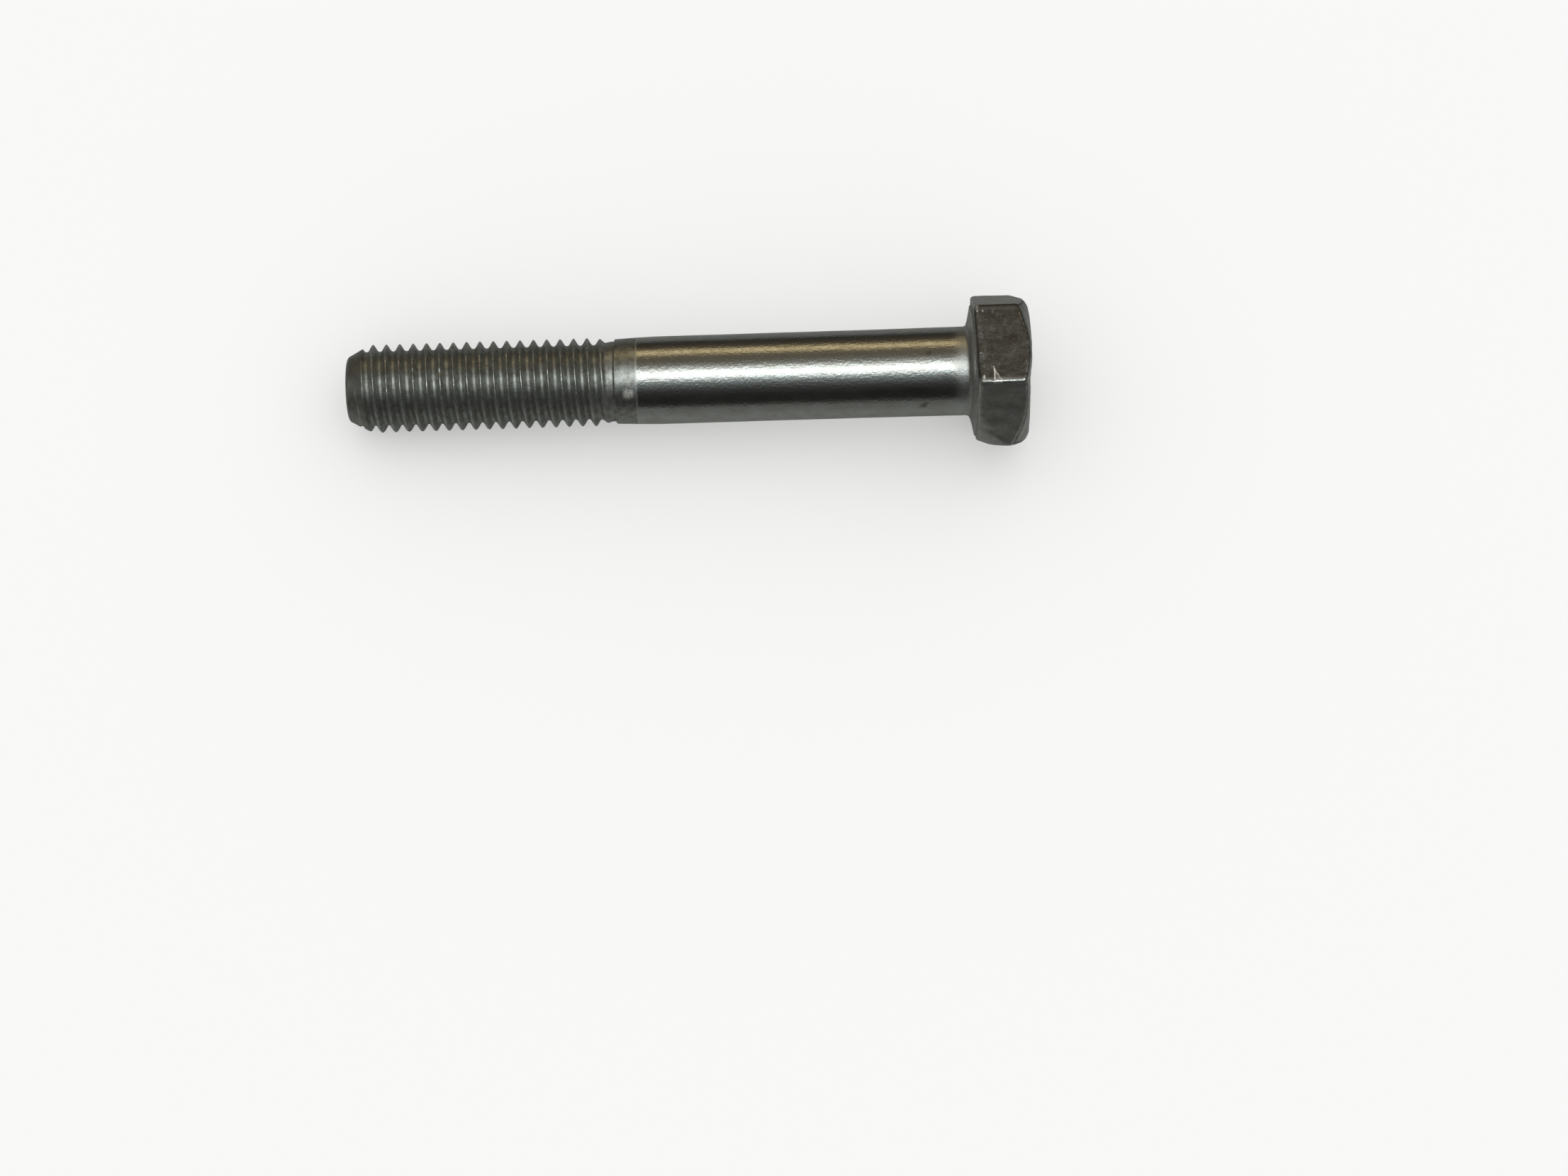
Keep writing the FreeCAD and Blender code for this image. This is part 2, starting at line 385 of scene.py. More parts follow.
head = {
    "washerRadius": 7.3,
    "washerStep": 0.13,
    "washerEdge": ((0.02, -0.06), (0.06, -0.02), (0.10, 0.02)),  # along and out, round its edge
    "faceInset": 0.12,
    "faceRows": 8,
    "faceRim": -0.07,  # the bearing face is very slightly conical and leans
    "underTilt": -0.15,
    "underLean": 0.30,  # the underside is hollowed towards the upper front
    "leanAngle": 66.0,
    # one value per corner: the front corner first, then every 60 degrees over the top
    "cornerRound": (0.40, 0.35, 0.30, 1.90, 0.6, 0.5),
    "cornerWear": (0.4, 1.0, 0.0, 0.3, 0.8, 0.7),
    "cornerDirt": (0.0, 0.0, 1.0, 0.0, 0.0, 0.3),
    "edgeAcross": 0.35,  # how far the lower edge is rolled inwards, more at some corners
    "cornerAcross": (2.1, 0.35, 0.0, 0.05, 0.6, 0.9),
    "cornerSpread": 13.0,
    "leanKept": 0.8,  # share of the lean that reaches the rolled edge
    "underShares": (0.0, 0.2, 0.5, 0.8),
    "edgeRows": 11,
    # by angle: how far the rolled lower edge reaches up the side, as the forging left it
    "lowerEdge": ((0, 3.3), (8, 2.5), (15, 1.6), (20, 1.2), (26, 0.60), (31, 0.85), (35, 1.15), (42, 1.0),
                  (47, 0.85), (57, 0.70), (60, 1.30), (66, 1.15), (90, 0.90), (117, 0.50), (150, 0.35),
                  (180, 0.45), (212, 0.6), (240, 1.3), (268, 0.5), (300, 1.6), (331, 0.7), (350, 2.0)),
    # the edge of the chamfer on the flats, below the top
    "chamferEdge": ((0, 2.30), (10, 1.55), (20, 1.00), (36, 0.62), (54, 0.63), (60, 0.85),
                    (66, 0.50), (74, 0.22), (84, 0.12), (92, 0.20), (105, 0.60), (118, 1.30),
                    (120, 1.42), (128, 1.0), (148, 0.55), (158, 0.80), (168, 1.35), (180, 2.20),
                    (193, 1.25), (211, 0.42), (230, 0.9), (240, 1.35), (250, 0.8), (271, 0.25),
                    (290, 0.8), (300, 1.2), (310, 0.85), (329, 0.5), (350, 1.15)),
    # the rim of the top face, above or below the nominal top
    "rimHeight": ((0, -0.20), (30, -0.19), (58, -0.14), (67, -0.06), (75, 0.12), (90, 0.14), (104, 0.15),
                  (120, 0.12), (158, 0.10), (180, 0.04), (240, -0.04), (300, -0.10), (340, -0.17)),
    "eased": 6,  # degrees each side over which the values by angle are averaged
    "easedFrom": (1.0, 7.0),  # degrees from a corner where that sets in
    "rimRadius": 6.2,
    "rimSwell": 0.16,  # the chamfer bulges between its edge and the rim
    "broken": (0.07, 0.14),  # the edge of the chamfer is broken: depth and width
    "topSink": -0.10,  # middle of the top face
    "sideRows": 40,
    "chamferShares": (0.03, 0.08, 0.16, 0.28, 0.42, 0.56, 0.7, 0.82, 0.92, 1.0),
    "topShares": (0.985, 0.96, 0.9, 0.75, 0.55, 0.35, 0.15, 0.0),
    "faceUneven": (0.012, 2.5, 8),
    "heightUneven": (0.10, 1.6, 9),
    "underUneven": (0.02, 3.0, 10),
    "edgeUneven": (0.035, 0.9, 11),
    "topUneven": (0.02, 2.6, 12),
    "chamferUneven": (0.03, 0.9, 16),
}


def undersideShift():
    # how far the forged underside stands off its nominal plane, by angle
    backward = 0.5 - 0.5 * np.cos(aroundRad)  # 0 at the front, 1 at the back
    facing = np.clip(np.cos(aroundRad - math.radians(head["leanAngle"])), 0, 1)
    return head["underTilt"] * backward + head["underLean"] * facing ** 1.5


def cornerGap():
    # degrees from the nearest corner
    return np.abs((around + 30.0) % 60.0 - 30.0)


def atCorner(values):
    # the value of the nearest corner
    return np.array(values)[np.round(around / 60.0).astype(int) % 6]


def aroundCorners(values, spread):
    # blend one value per corner round the head, and 0 at the middle of each flat
    total = np.zeros(around.shape)
    for number, value in enumerate(values):
        total += value * bell(turnFrom(60.0 * number), 0.0, spread)
    return total


def byAngle(pairs):
    # values by angle, eased between the given ones but left sharp at the six corners
    angles, values = zip(*pairs)
    turns = np.arange(-head["eased"], head["eased"] + 0.1, 1.0)
    eased = np.mean([np.interp(around + turn, angles, values, period=360.0) for turn in turns], axis=0)
    sharp = np.interp(around, angles, values, period=360.0)
    return sharp + (eased - sharp) * smooth(cornerGap(), *head["easedFrom"])


def hexRadius():
    # a hexagon with rounded corners, its corners at 0, 60, 120 degrees and so on
    gap = cornerGap()
    bend = atCorner(head["cornerRound"])
    corner = (flatRadius - bend) / math.cos(math.radians(30))
    reach = np.degrees(np.arctan(corner * 0.5 / flatRadius))  # where the rounding meets the flat
    flat = flatRadius / np.cos(np.radians(30.0 - gap))
    inside = np.maximum(bend ** 2 - (corner * np.sin(np.radians(gap))) ** 2, 0)
    rounded = corner * np.cos(np.radians(gap)) + np.sqrt(inside)
    return np.where(gap < 30.0 - reach, rounded, flat)


def addBearingFace(rows, filletAlong, filletEnd):
    washer, skin = head["washerRadius"], skins["head"]
    faceAt = head["faceRim"] + undersideShift()
    for share in np.linspace(0.1, 1.0, head["faceRows"]):
        radius = filletEnd + (washer - head["faceInset"] - filletEnd) * share
        along = filletAlong + (faceAt - filletAlong) * share ** 0.8
        rough = uneven(head["faceUneven"], 0.0, radius)
        # painted shade: the face is darker towards the round under the shank
        rows.add(along + rough, radius, 0.10, dull=0.6, hollow=0.25 * (1 - share), skin=skin)
    for lift, out in head["washerEdge"]:
        # painted shade on the washer's edge, in the step up to the underside
        rows.add(faceAt + lift, washer + out, hollow=0.15, dull=1.0, skin=skin)


def addLowerEdge(rows, side):
    # the underside outside the washer face, then the rolled lower edge
    washer, skin = head["washerRadius"], skins["head"]
    across = head["edgeAcross"] + aroundCorners(head["cornerAcross"], head["cornerSpread"])
    across = np.minimum(across, side - washer - 0.08)
    upSide = byAngle(head["lowerEdge"]) * (1 + uneven(head["heightUneven"], 0.0, side))
    base = head["washerStep"] + head["leanKept"] * undersideShift()
    base = base + uneven(head["underUneven"], 0.0, side)
    for share in head["underShares"]:
        radius = washer + 0.05 + (side - across - washer - 0.05) * share
        # painted shade in the step beside the washer face, darker towards it
        rows.add(base, radius, hollow=0.4 * (1 - share), dull=0.8, skin=skin)
    for share in np.linspace(0, 1, head["edgeRows"]):
        turn = math.radians(90 * share)
        radius = side - across * (1 - math.sin(turn))
        rough = uneven(head["edgeUneven"], base, radius) * math.sin(2 * turn)
        along = base + upSide * (1 - math.cos(turn)) + rough
        rows.add(along, radius + rough, wear=0.08, dull=0.35, scale=scaleOnFlats(),
                 torn=tornMask(along), skin=skin)
    return base + upSide


def addFlats(rows, side, start, chamferAt):
    # the six flats, from the rolled edge to the chamfer
    gap = cornerGap()
    ridge = bell(gap, 0.0, 1.6) * atCorner(head["cornerWear"])
    darkRidge = bell(gap, 0.5, 1.8) * atCorner(head["cornerDirt"])
    depth, width = head["broken"]
    for share in np.linspace(0, 1, head["sideRows"])[1:]:
        along = start + (chamferAt - start) * share
        edge = bell((1 - share) * (chamferAt - start), 0.0, width)
        rows.add(along, side + flatRelief(along, side) - depth * edge,
                 wear=ridge + 0.45 * edge * (1 - darkRidge), hollow=darkRidge, dull=0.3,
                 scale=scaleOnFlats(), torn=tornMask(along), skin=skins["head"])


def addTopFace(rows, side, chamferAt):
    # the chamfer up to its round rim, then the top face inside it
    skin, rimRadius = skins["head"], head["rimRadius"]
    rim = headTop + byAngle(head["rimHeight"])
    swell = np.minimum(head["rimSwell"], 0.3 * (rim - chamferAt))
    outside = side - head["broken"][0]
    for share in head["chamferShares"]:
        radius = outside + (rimRadius - outside) * share
        along = (chamferAt + (rim - chamferAt) * share ** 0.85
                 + swell * math.sin(math.pi * share ** 0.8))
        burr = uneven(head["chamferUneven"], along, radius) * math.sin(math.pi * share)
        # painted shade: a dark line along the foot of the chamfer
        rows.add(along + burr, radius, wear=0.5 * bell(share, 0.97, 0.10),
                 hollow=bell(share, 0.04, 0.07), dull=0.5, scale=0.2, skin=skin)
    middle = headTop + head["topSink"]
    for share in head["topShares"]:
        rough = uneven(head["topUneven"], headTop, rimRadius * share) * min(1.0, share * 4)
        rows.add(middle + (rim - middle) * share + rough * (share < 0.98), rimRadius * share,
                 dull=0.6, skin=skin)


def addHead(rows, filletAlong, filletEnd):
    side = hexRadius()
    chamferAt = headTop - byAngle(head["chamferEdge"])
    addBearingFace(rows, filletAlong, filletEnd)
    start = addLowerEdge(rows, side)
    addFlats(rows, side, start, chamferAt)
    addTopFace(rows, side, chamferAt)


flatMarks = {
    # dark forging scale on each flat, by the angle of its middle
    "scale": ((30, 0.0), (90, 1.0), (150, 0.0), (210, 0.5), (270, 0.8), (330, 0.3)),
    "scaleEnds": (26.5, 29.5),  # degrees from that middle
    "smearCorner": (2.03, 61.0),  # a torn smear of bare metal beside a corner: along, angle
    "smearTop": 71.5,
    "smearLength": 1.25,
    "smearTip": 0.12,
    "smearLift": 0.07,
    "trench": 0.06,  # depth of the groove that the smear came out of
    # along, angle, size along, size in degrees, strength of small rubbed spots
    "spots": ((0.98, 63.0, 0.20, 2.2, 0.85), (0.5, 116.4, 0.10, 1.2, 0.9), (1.1, 116.2, 0.14, 0.9, 0.8),
              (2.17, 115.4, 0.07, 2.0, 0.9), (0.74, 82.4, 0.22, 0.8, 0.9), (0.62, 103.0, 0.08, 3.0, 0.5),
              (5.6, 74.0, 0.30, 2.4, 0.35), (4.7, 80.0, 0.25, 2.0, 0.25), (1.0, 203.0, 0.2, 2.0, 0.8),
              (3.4, 247.0, 0.5, 0.9, 0.7), (2.2, 275.0, 0.12, 3.0, 0.6), (4.8, 318.0, 0.3, 1.6, 0.6)),
    "uneven": ((0.016, 2.2, 13), (0.008, 0.8, 14)),
    "tornUneven": (0.02, 0.35, 17),
}


def scaleOnFlats():
    total = np.zeros(around.shape)
    for middle, amount in flatMarks["scale"]:
        total += amount * (1 - smooth(np.abs(turnFrom(middle)), *flatMarks["scaleEnds"]))
    return total


def smearShape(along):
    # a triangle with its long foot on the corner and one straight side across the flat
    place, angle = flatMarks["smearCorner"]
    up = np.clip((around - angle) / (flatMarks["smearTop"] - angle), 0, 1)
    tail = flatMarks["smearLength"] * (1 - up) ** 1.6 + flatMarks["smearTip"]
    inside = (smooth(along, place - 0.04, place + 0.06)
              * (1 - smooth(along, place + tail * 0.6, place + tail)))
    return inside * (1 - smooth(up, 0.9, 1.0)) * (around > angle - 2.0), tail, up


def tornMask(along):
    # the smear is brightest along its two sharp sides
    smear, tail, _ = smearShape(along)
    past = along - flatMarks["smearCorner"][0]
    sides = bell(past, 0.06, 0.10) + bell(past, 0.78 * tail, 0.16)
    torn = smear * (0.45 + 0.4 * sides)
    for where, turn, size, spread, strength in flatMarks["spots"]:
        torn = torn + strength * bell(along, where, size) * bell(around, turn, spread)
    return np.clip(torn, 0, 1)


def flatRelief(along, side):
    # the flats are forged: uneven, with a few torn and rubbed places
    forged = sum(uneven(pattern, along, side) for pattern in flatMarks["uneven"])
    away = smooth(cornerGap(), 1.5, 7.0)
    smear, tail, up = smearShape(along)
    place, angle = flatMarks["smearCorner"]
    groove = bell(along - place, -0.12, 0.10) * (1 - smooth(up, 0.85, 1.0)) * (around > angle - 0.5)
    lift = flatMarks["smearLift"] * smear * (1 - smooth(along, place, place + tail))
    rough = uneven(flatMarks["tornUneven"], along, side) * tornMask(along)
    return forged * away + lift - flatMarks["trench"] * groove + rough


def buildMesh(rows):
    along, radius = np.array(rows.along) * mm, np.array(rows.radius) * mm
    points = np.stack([along, -radius * np.cos(aroundRad), radius * np.sin(aroundRad)], axis=-1)
    rowCount, columnCount = along.shape
    number = np.arange(rowCount * columnCount).reshape(rowCount, columnCount)
    quads = np.stack([number[:-1, :-1], number[:-1, 1:], number[1:, 1:], number[1:, :-1]], axis=-1)
    data = bpy.data.meshes.new("boltSurface")
    data.from_pydata(points.reshape(-1, 3).tolist(), [], quads.reshape(-1, 4).tolist())
    for name, values in rows.masks.items():
        layer = data.attributes.new(name, "FLOAT", "POINT")
        layer.data.foreach_set("value", np.clip(np.array(values), 0, 1).ravel().astype(np.float32))
    skinOfRow = np.array(rows.skin)[1:]
    data.polygons.foreach_set("material_index", np.repeat(skinOfRow, columnCount - 1).astype(np.int32))
    # close the seam and the two ends, and drop what the cut-off rows left empty
    work = bmesh.new()
    work.from_mesh(data)
    bmesh.ops.remove_doubles(work, verts=work.verts, dist=mesh["weld"])
    bmesh.ops.dissolve_degenerate(work, edges=work.edges, dist=1e-8)
    bmesh.ops.recalc_face_normals(work, faces=work.faces)
    loose = [vert for vert in work.verts if not vert.link_faces]
    bmesh.ops.delete(work, geom=loose, context="VERTS")
    openEdges = sum(1 for edge in work.edges if not edge.is_manifold)
    work.to_mesh(data)
    work.free()
    for polygon in data.polygons:
        polygon.use_smooth = True
    print("bolt mesh: %d points, %d faces, %d open edges"
          % (len(data.vertices), len(data.polygons), openEdges))
    return data


def makeBolt():
    rows = Rows()
    addThread(rows, addTip(rows))
    addHead(rows, *addShank(rows))
    bolt = bpy.data.objects.new("boltBody", buildMesh(rows))
    bpy.context.scene.collection.objects.link(bolt)
    return bolt


def nodeIn(tree, kind, **values):
    node = tree.nodes.new(kind)
    for name, value in values.items():
        setattr(node, name, value)
    return node


def socketGroup(name, inputs, outputs):
    tree = bpy.data.node_groups.new(name, "ShaderNodeTree")
    for label, kind, value in inputs:
        socket = tree.interface.new_socket(name=label, in_out="INPUT", socket_type=kind)
        socket.default_value = value
    for label, kind in outputs:
        tree.interface.new_socket(name=label, in_out="OUTPUT", socket_type=kind)
    return tree, nodeIn(tree, "NodeGroupInput"), nodeIn(tree, "NodeGroupOutput")


def objectPlace(tree):
    # object coordinates in millimetres
    place = nodeIn(tree, "ShaderNodeTexCoord")
    scale = nodeIn(tree, "ShaderNodeVectorMath", operation="SCALE")
    scale.inputs["Scale"].default_value = 1 / mm
    tree.links.new(place.outputs["Object"], scale.inputs[0])
    return scale.outputs[0]


def feed(tree, amount, socket):
    # amount is another node's output or a fixed value
    if hasattr(amount, "links"):
        tree.links.new(amount, socket)
    else:
        socket.default_value = amount


def mathOf(tree, operation, *amounts, clamp=False):
    node = nodeIn(tree, "ShaderNodeMath", operation=operation, use_clamp=clamp)
    for slot, amount in enumerate(amounts):
        feed(tree, amount, node.inputs[slot])
    return node.outputs[0]


def noiseOf(tree, place, size, detail=4.0, rough=0.6, stretch=None):
    # size is the width of one blotch, a socket or a number of millimetres
    if stretch:
        squeeze = nodeIn(tree, "ShaderNodeVectorMath", operation="MULTIPLY")
        squeeze.inputs[1].default_value = stretch
        tree.links.new(place, squeeze.inputs[0])
        place = squeeze.outputs[0]
    noise = nodeIn(tree, "ShaderNodeTexNoise")
    noise.inputs["Detail"].default_value = detail
    noise.inputs["Roughness"].default_value = rough
    tree.links.new(place, noise.inputs["Vector"])
    tree.links.new(mathOf(tree, "DIVIDE", 1.0, size), noise.inputs["Scale"])
    return noise.outputs["Fac"]


def rangeOf(tree, value, fromLow, fromHigh, toLow=0.0, toHigh=1.0):
    node = nodeIn(tree, "ShaderNodeMapRange", interpolation_type="SMOOTHSTEP")
    labels = ("Value", "From Min", "From Max", "To Min", "To Max")
    for label, amount in zip(labels, (value, fromLow, fromHigh, toLow, toHigh)):
        feed(tree, amount, node.inputs[label])
    return node.outputs["Result"]


def mixColour(tree, share, first, second):
    node = nodeIn(tree, "ShaderNodeMix", data_type="RGBA")
    colourA, colourB = [item for item in node.inputs if item.type == "RGBA"]
    for socket, amount in ((node.inputs[0], share), (colourA, first), (colourB, second)):
        feed(tree, amount, socket)
    return [item for item in node.outputs if item.type == "RGBA"][0]


def placeGroup(tree, group, values):
    node = nodeIn(tree, "ShaderNodeGroup", node_tree=group)
    for label, amount in values.items():
        feed(tree, amount, node.inputs[label])
    return node.outputs


patterns = {
    # sizes in millimetres, and the part of the noise over which a mark sets in
    "fineBlotch": 0.18,
    "fineShare": 0.35,
    "tarnishFrom": (0.50, 0.88),
    "pit": 0.22,
    "pitFrom": (0.66, 0.76),
    "line": 0.12,
    "lineStretch": (0.06, 1.0, 1.0),
    "rubbedFrom": (0.40, 0.60),
}


def makeTarnishGroup():
    # zinc goes from clean grey to a duller, slightly green or brown grey in blotches
    tree, start, end = socketGroup(
        "zincTarnish",
        [("Clean", "NodeSocketColor", (0.55, 0.56, 0.54, 1)),
         ("Tarnished", "NodeSocketColor", (0.4, 0.4, 0.36, 1)),
         ("Blotch Size", "NodeSocketFloat", 1.2), ("Amount", "NodeSocketFloat", 0.6)],
        [("Colour", "NodeSocketColor"), ("Mask", "NodeSocketFloat")])
    place = objectPlace(tree)
    large = noiseOf(tree, place, start.outputs["Blotch Size"], detail=5.0, rough=0.62)
    fine = noiseOf(tree, place, patterns["fineBlotch"], detail=3.0, rough=0.7)
    both = mathOf(tree, "MULTIPLY_ADD", fine, patterns["fineShare"], large)
    mask = rangeOf(tree, both, *patterns["tarnishFrom"])
    mask = mathOf(tree, "MULTIPLY", mask, start.outputs["Amount"], clamp=True)
    colour = mixColour(tree, mask, start.outputs["Clean"], start.outputs["Tarnished"])
    tree.links.new(colour, end.inputs["Colour"])
    tree.links.new(mask, end.inputs["Mask"])
    return tree


def makeReliefGroup():
    # the skin of plated steel: shallow orange peel with scattered pits and fine drawn lines
    tree, start, end = socketGroup(
        "platedSkin",
        [("Grain Size", "NodeSocketFloat", 0.35), ("Pits", "NodeSocketFloat", 0.5),
         ("Lines", "NodeSocketFloat", 0.2)],
        [("Height", "NodeSocketFloat")])
    place = objectPlace(tree)
    peel = noiseOf(tree, place, start.outputs["Grain Size"], detail=3.0, rough=0.55)
    speck = noiseOf(tree, place, patterns["pit"], detail=2.0, rough=0.5)
    pit = rangeOf(tree, speck, *patterns["pitFrom"])
    pit = mathOf(tree, "MULTIPLY", pit, start.outputs["Pits"])
    drawn = noiseOf(tree, place, patterns["line"], detail=2.0, rough=0.5, stretch=patterns["lineStretch"])
    drawn = mathOf(tree, "MULTIPLY", drawn, start.outputs["Lines"])
    height = mathOf(tree, "SUBTRACT", mathOf(tree, "ADD", peel, drawn), pit)
    tree.links.new(height, end.inputs["Height"])
    return tree


def makeWearGroup():
    # breaks a painted mask of exposed edges into bright rubbed spots
    tree, start, end = socketGroup(
        "rubbedEdge",
        [("Edge", "NodeSocketFloat", 0.0), ("Break Size", "NodeSocketFloat", 0.3),
         ("Amount", "NodeSocketFloat", 0.8)],
        [("Mask", "NodeSocketFloat")])
    place = objectPlace(tree)
    patch = noiseOf(tree, place, start.outputs["Break Size"])
    patch = rangeOf(tree, patch, *patterns["rubbedFrom"])
    mask = mathOf(tree, "MULTIPLY", patch, start.outputs["Edge"])
    mask = mathOf(tree, "MULTIPLY", mask, start.outputs["Amount"], clamp=True)
    tree.links.new(mask, end.inputs["Mask"])
    return tree


finishes = {
    # the last two entries of each finish darken the stains and paint shade into the hollows
    "threadZinc": {
        "clean": (0.41, 0.425, 0.405, 1), "tarnished": (0.22, 0.215, 0.19, 1),
        "bare": (0.56, 0.57, 0.55, 1),
        "blotch": 0.7, "tarnish": 0.9, "grain": 0.22, "pits": 0.15, "lines": 0.0, "bump": 0.014,
        "rough": 0.41, "roughTarnished": 0.47, "roughDull": 0.36, "roughBare": 0.15,
        "break": 0.35, "wear": 0.85,
        "grimeAndShade": (0.20, 0.20, 0.18, 1), "grimeAndShadeShare": 0.05,
    },
    "shankZinc": {
        "clean": (0.55, 0.56, 0.545, 1), "tarnished": (0.42, 0.41, 0.37, 1),
        "bare": (0.80, 0.81, 0.80, 1),
        "blotch": 1.3, "tarnish": 0.7, "grain": 0.32, "pits": 0.12, "lines": 0.25, "bump": 0.024,
        "rough": 0.13, "roughTarnished": 0.21, "roughDull": 0.42, "roughBare": 0.14,
        "break": 0.3, "wear": 0.8,
        "grimeAndShade": (0.10, 0.095, 0.08, 1), "grimeAndShadeShare": 0.85,
    },
    "headZinc": {
        "clean": (0.495, 0.50, 0.48, 1), "tarnished": (0.36, 0.35, 0.325, 1),
        "bare": (0.84, 0.85, 0.83, 1),
        "blotch": 0.8, "tarnish": 0.9, "grain": 0.28, "pits": 0.2, "lines": 0.0, "bump": 0.016,
        "rough": 0.24, "roughTarnished": 0.33, "roughDull": 0.50, "roughBare": 0.18,
        "break": 0.3, "wear": 0.95,
        "grimeAndShade": (0.035, 0.034, 0.030, 1), "grimeAndShadeShare": 0.85,
    },
}

forging = {
    "scale": (0.128, 0.116, 0.103, 1),  # dark skin left by the hot forging
    "scaleWorn": (0.225, 0.215, 0.198, 1),
    "fleck": 0.26,
    "fleckFrom": (0.40, 0.78),
    "tear": 0.22,
    "tearShare": 0.9,  # how ragged the torn marks are
    "tornFrom": (0.72, 1.30),
    "torn": (0.90, 0.88, 0.83, 1),  # torn bright metal
    "roughTorn": 0.62,
}


def makeFinish(name, groups):
    look = finishes[name]
    material = bpy.data.materials.new(name)
    material.use_nodes = True
    tree = material.node_tree
    shader = tree.nodes["Principled BSDF"]
    shader.inputs["Metallic"].default_value = 1.0

    def painted(label):
        return nodeIn(tree, "ShaderNodeAttribute", attribute_name=label).outputs["Fac"]

    tarnish = placeGroup(tree, groups["tarnish"], {
        "Clean": look["clean"], "Tarnished": look["tarnished"],
        "Blotch Size": look["blotch"], "Amount": look["tarnish"]})
    relief = placeGroup(tree, groups["relief"], {
        "Grain Size": look["grain"], "Pits": look["pits"], "Lines": look["lines"]})
    rubbed = placeGroup(tree, groups["wear"], {
        "Edge": painted("wear"), "Break Size": look["break"], "Amount": look["wear"]})

    # zinc, then scale, stains and painted shade in the hollows, rubbed edges and torn metal on top of one
    # another
    place = objectPlace(tree)
    flecks = noiseOf(tree, place, forging["fleck"], detail=5.0, rough=0.68)
    flecks = rangeOf(tree, flecks, *forging["fleckFrom"])
    scale = mixColour(tree, flecks, forging["scale"], forging["scaleWorn"])
    colour = mixColour(tree, painted("scale"), tarnish["Colour"], scale)
    # darker where the mask marks stains, and a painted shade in the hollows
    grimeAndShade = mathOf(tree, "MULTIPLY", painted("hollow"), look["grimeAndShadeShare"])
    colour = mixColour(tree, grimeAndShade, colour, look["grimeAndShade"])
    colour = mixColour(tree, rubbed["Mask"], colour, look["bare"])
    ragged = noiseOf(tree, place, forging["tear"], rough=0.7)
    ragged = mathOf(tree, "MULTIPLY_ADD", ragged, forging["tearShare"], painted("torn"))
    torn = rangeOf(tree, ragged, *forging["tornFrom"])
    colour = mixColour(tree, torn, colour, forging["torn"])
    tree.links.new(colour, shader.inputs["Base Color"])

    rough = rangeOf(tree, tarnish["Mask"], 0.0, 1.0, look["rough"], look["roughTarnished"])
    rough = rangeOf(tree, painted("dull"), 0.0, 1.0, rough, look["roughDull"])
    rough = rangeOf(tree, rubbed["Mask"], 0.0, 1.0, rough, look["roughBare"])
    rough = rangeOf(tree, torn, 0.0, 1.0, rough, forging["roughTorn"])
    tree.links.new(rough, shader.inputs["Roughness"])

    bump = nodeIn(tree, "ShaderNodeBump")
    bump.inputs["Strength"].default_value = 1.0
    bump.inputs["Distance"].default_value = look["bump"] * mm
    tree.links.new(relief["Height"], bump.inputs["Height"])
    tree.links.new(bump.outputs["Normal"], shader.inputs["Normal"])
    return material


def finishBolt(bolt):
    groups = {"tarnish": makeTarnishGroup(), "relief": makeReliefGroup(), "wear": makeWearGroup()}
    for name in finishes:
        bolt.data.materials.append(makeFinish(name, groups))
    print("finishes:", ", ".join(finishes))


studio = {
    "floorSize": 4000.0,
    "floorColour": (0.62, 0.62, 0.615, 1),
    "floorGlow": (0.30, 0.30, 0.298, 1),  # lifts the shadow under the bolt
    # the table that the metal mirrors is greyer, and darker far off
    "nearInMetal": (0.31, 0.32, 0.305, 1),
    "midInMetal": (0.175, 0.18, 0.172, 1),
    "farInMetal": (0.028, 0.027, 0.024, 1),
    "nearReach": (3.0, 24.0),
    "farReach": (22.0, 95.0),
    "backdrop": (0.93, 0.935, 0.93, 1),
    "fill": (1.04, 1.04, 1.04, 1),
    "boltBalance": -22.0,  # the bolt's balance point along the axis
    "endsFrom": 0.45,  # the room is darker past the two ends of the bolt
    "endsTo": 0.90,
    "ends": (0.055, 0.053, 0.047, 1),
}

# what the metal mirrors above the table, by the angle from the front horizon over the top to the back
mirrored = (
    (0, (0.012, 0.012, 0.011)), (22, (0.014, 0.014, 0.013)), (38, (0.040, 0.041, 0.039)),
    (51, (0.13, 0.14, 0.145)), (62, (0.32, 0.36, 0.37)), (69, (0.9, 1.0, 1.0)), (74, (2.4, 2.5, 2.5)),
    (88, (2.4, 2.5, 2.5)), (94, (1.0, 1.05, 1.02)), (101, (0.38, 0.38, 0.35)),
    (110, (0.19, 0.175, 0.145)),
    (120, (0.145, 0.125, 0.095)), (133, (0.15, 0.125, 0.085)), (139, (0.42, 0.34, 0.20)),
    (143, (0.98, 0.79, 0.46)), (148, (1.0, 0.80, 0.46)), (152, (0.42, 0.34, 0.19)),
    (158, (0.12, 0.095, 0.06)), (166, (0.055, 0.045, 0.032)), (180, (0.05, 0.042, 0.03)),
)


def restingFloor(bolt):
    # the bolt rests on its head and on the thread near the tip: find the plane that touches both
    places = np.empty(len(bolt.data.vertices) * 3)
    bolt.data.vertices.foreach_get("co", places)
    places = places.reshape(-1, 3)
    along, height = places[:, 0], places[:, 2]
    balance = studio["boltBalance"] * mm
    slope = 0.0
    for _ in range(12):
        level = height - slope * along
        tipSide = np.where(along < balance, level, np.inf).argmin()
        headSide = np.where(along > balance, level, np.inf).argmin()
        slope = (height[headSide] - height[tipSide]) / (along[headSide] - along[tipSide])
    return slope, (height - slope * along).min()


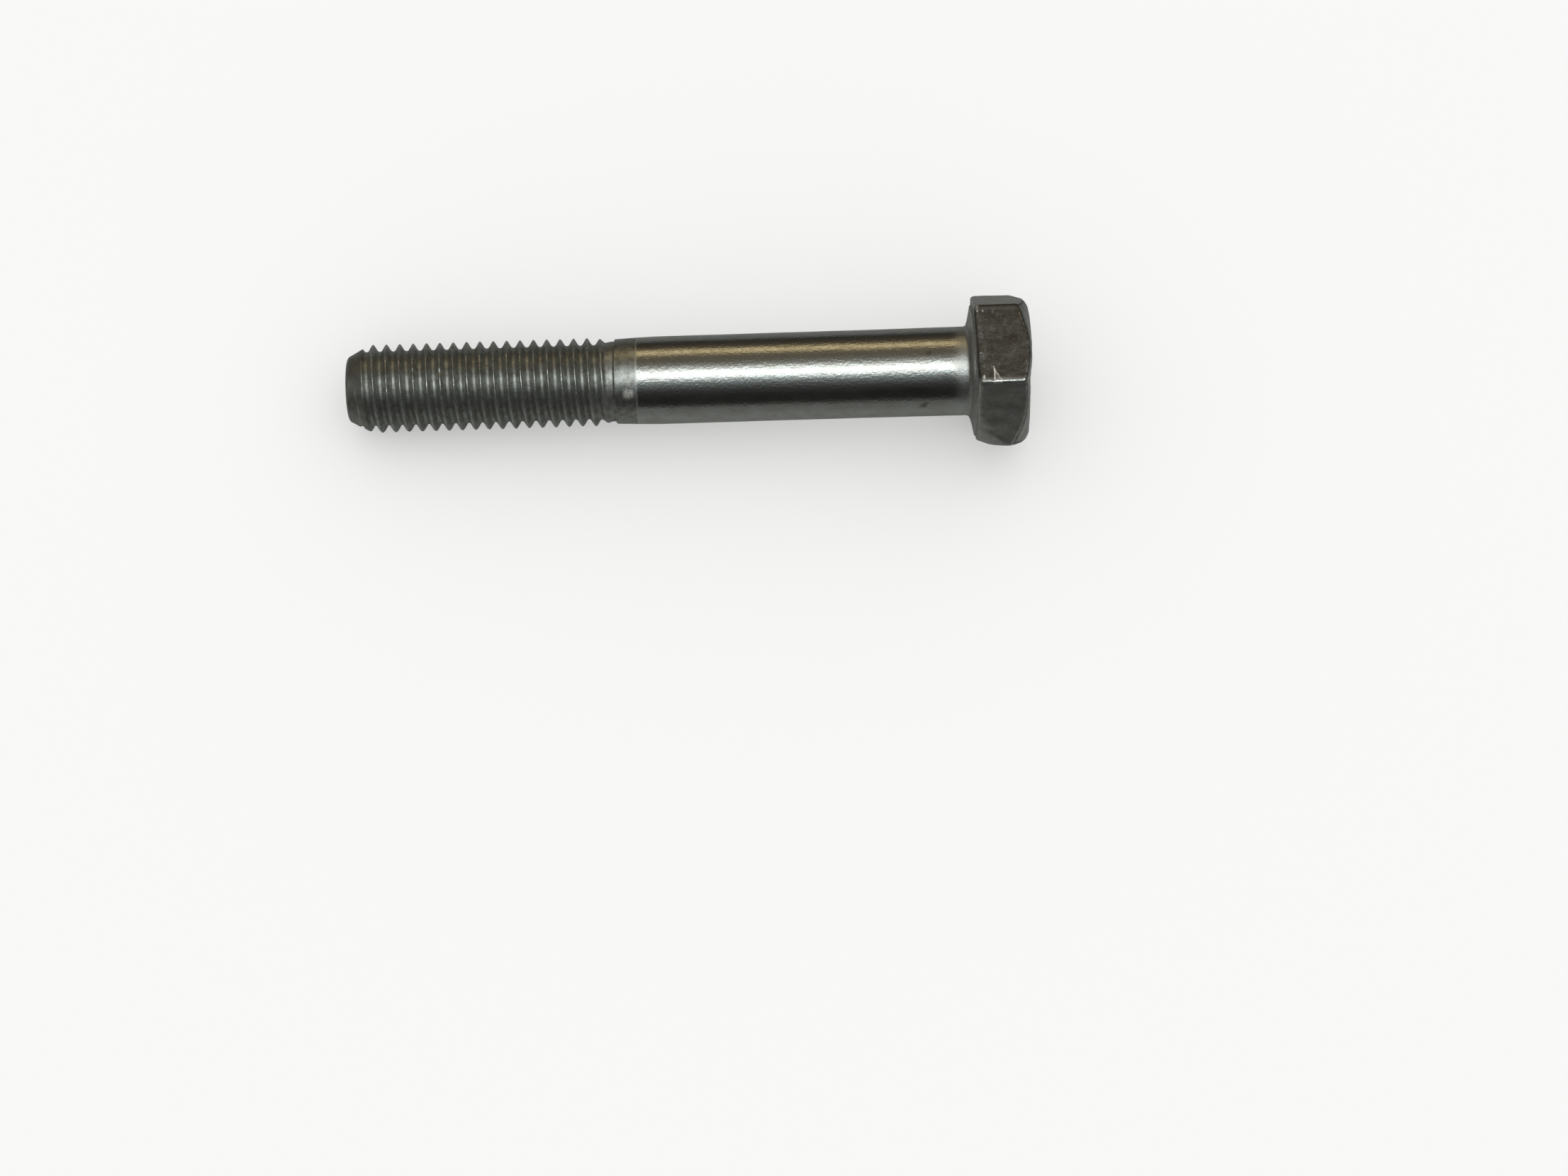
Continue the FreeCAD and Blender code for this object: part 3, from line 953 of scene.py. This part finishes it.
def makeFloor(bolt):
    slope, level = restingFloor(bolt)
    half = studio["floorSize"] * mm / 2
    square = ((-half, -half), (half, -half), (half, half), (-half, half))
    corners = [(x, y, level + slope * x) for x, y in square]
    data = bpy.data.meshes.new("floor")
    data.from_pydata(corners, [], [(0, 1, 2, 3)])
    floor = bpy.data.objects.new("floor", data)
    bpy.context.scene.collection.objects.link(floor)
    material = bpy.data.materials.new("paleFloor")
    material.use_nodes = True
    tree = material.node_tree
    shader = tree.nodes["Principled BSDF"]
    shader.inputs["Roughness"].default_value = 0.9
    shader.inputs["Specular IOR Level"].default_value = 0.0
    shader.inputs["Emission Strength"].default_value = 1.0
    ray = nodeIn(tree, "ShaderNodeLightPath").outputs["Is Glossy Ray"]
    place = nodeIn(tree, "ShaderNodeSeparateXYZ")
    tree.links.new(objectPlace(tree), place.inputs[0])
    away = mathOf(tree, "ABSOLUTE", place.outputs["Y"])
    near, far = (rangeOf(tree, away, *studio[name]) for name in ("nearReach", "farReach"))
    mirror = mixColour(tree, near, studio["nearInMetal"], studio["midInMetal"])
    mirror = mixColour(tree, far, mirror, studio["farInMetal"])
    colour = mixColour(tree, ray, studio["floorColour"], mirror)
    tree.links.new(colour, shader.inputs["Base Color"])
    glow = mixColour(tree, ray, studio["floorGlow"], (0, 0, 0, 1))
    tree.links.new(glow, shader.inputs["Emission Color"])
    data.materials.append(material)
    print("floor: slope %.2f degrees" % math.degrees(math.atan(slope)))


def makeLight():
    world = bpy.data.worlds.new("studio")
    world.use_nodes = True
    bpy.context.scene.world = world
    tree = world.node_tree
    shader = tree.nodes["Background"]
    direction = nodeIn(tree, "ShaderNodeTexCoord").outputs["Generated"]
    parts = nodeIn(tree, "ShaderNodeSeparateXYZ")
    tree.links.new(direction, parts.inputs[0])
    front = mathOf(tree, "MULTIPLY", parts.outputs["Y"], -1.0)
    angle = mathOf(tree, "ARCTAN2", parts.outputs["Z"], front)
    share = mathOf(tree, "DIVIDE", angle, math.pi)
    bands = nodeIn(tree, "ShaderNodeValToRGB")
    steps = bands.color_ramp.elements
    while len(steps) < len(mirrored):
        steps.new(0.5)
    for step, (degrees, colour) in zip(steps, mirrored):
        step.position = degrees / 180.0
        step.color = (*colour, 1)
    tree.links.new(share, bands.inputs["Fac"])
    sideways = mathOf(tree, "ABSOLUTE", parts.outputs["X"])
    past = rangeOf(tree, sideways, studio["endsFrom"], studio["endsTo"])
    room = mixColour(tree, past, bands.outputs["Color"], studio["ends"])
    ray = nodeIn(tree, "ShaderNodeLightPath")
    colour = mixColour(tree, ray.outputs["Is Glossy Ray"], studio["fill"], room)
    colour = mixColour(tree, ray.outputs["Is Camera Ray"], colour, studio["backdrop"])
    tree.links.new(colour, shader.inputs["Color"])
    bpy.context.scene.view_settings.view_transform = "Standard"
    print("light: soft surround with", len(mirrored), "bands")


makeCamera()
bolt = makeBolt()
finishBolt(bolt)
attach(bolt, "root")
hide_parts("hex_bolt")
makeFloor(bolt)
makeLight()
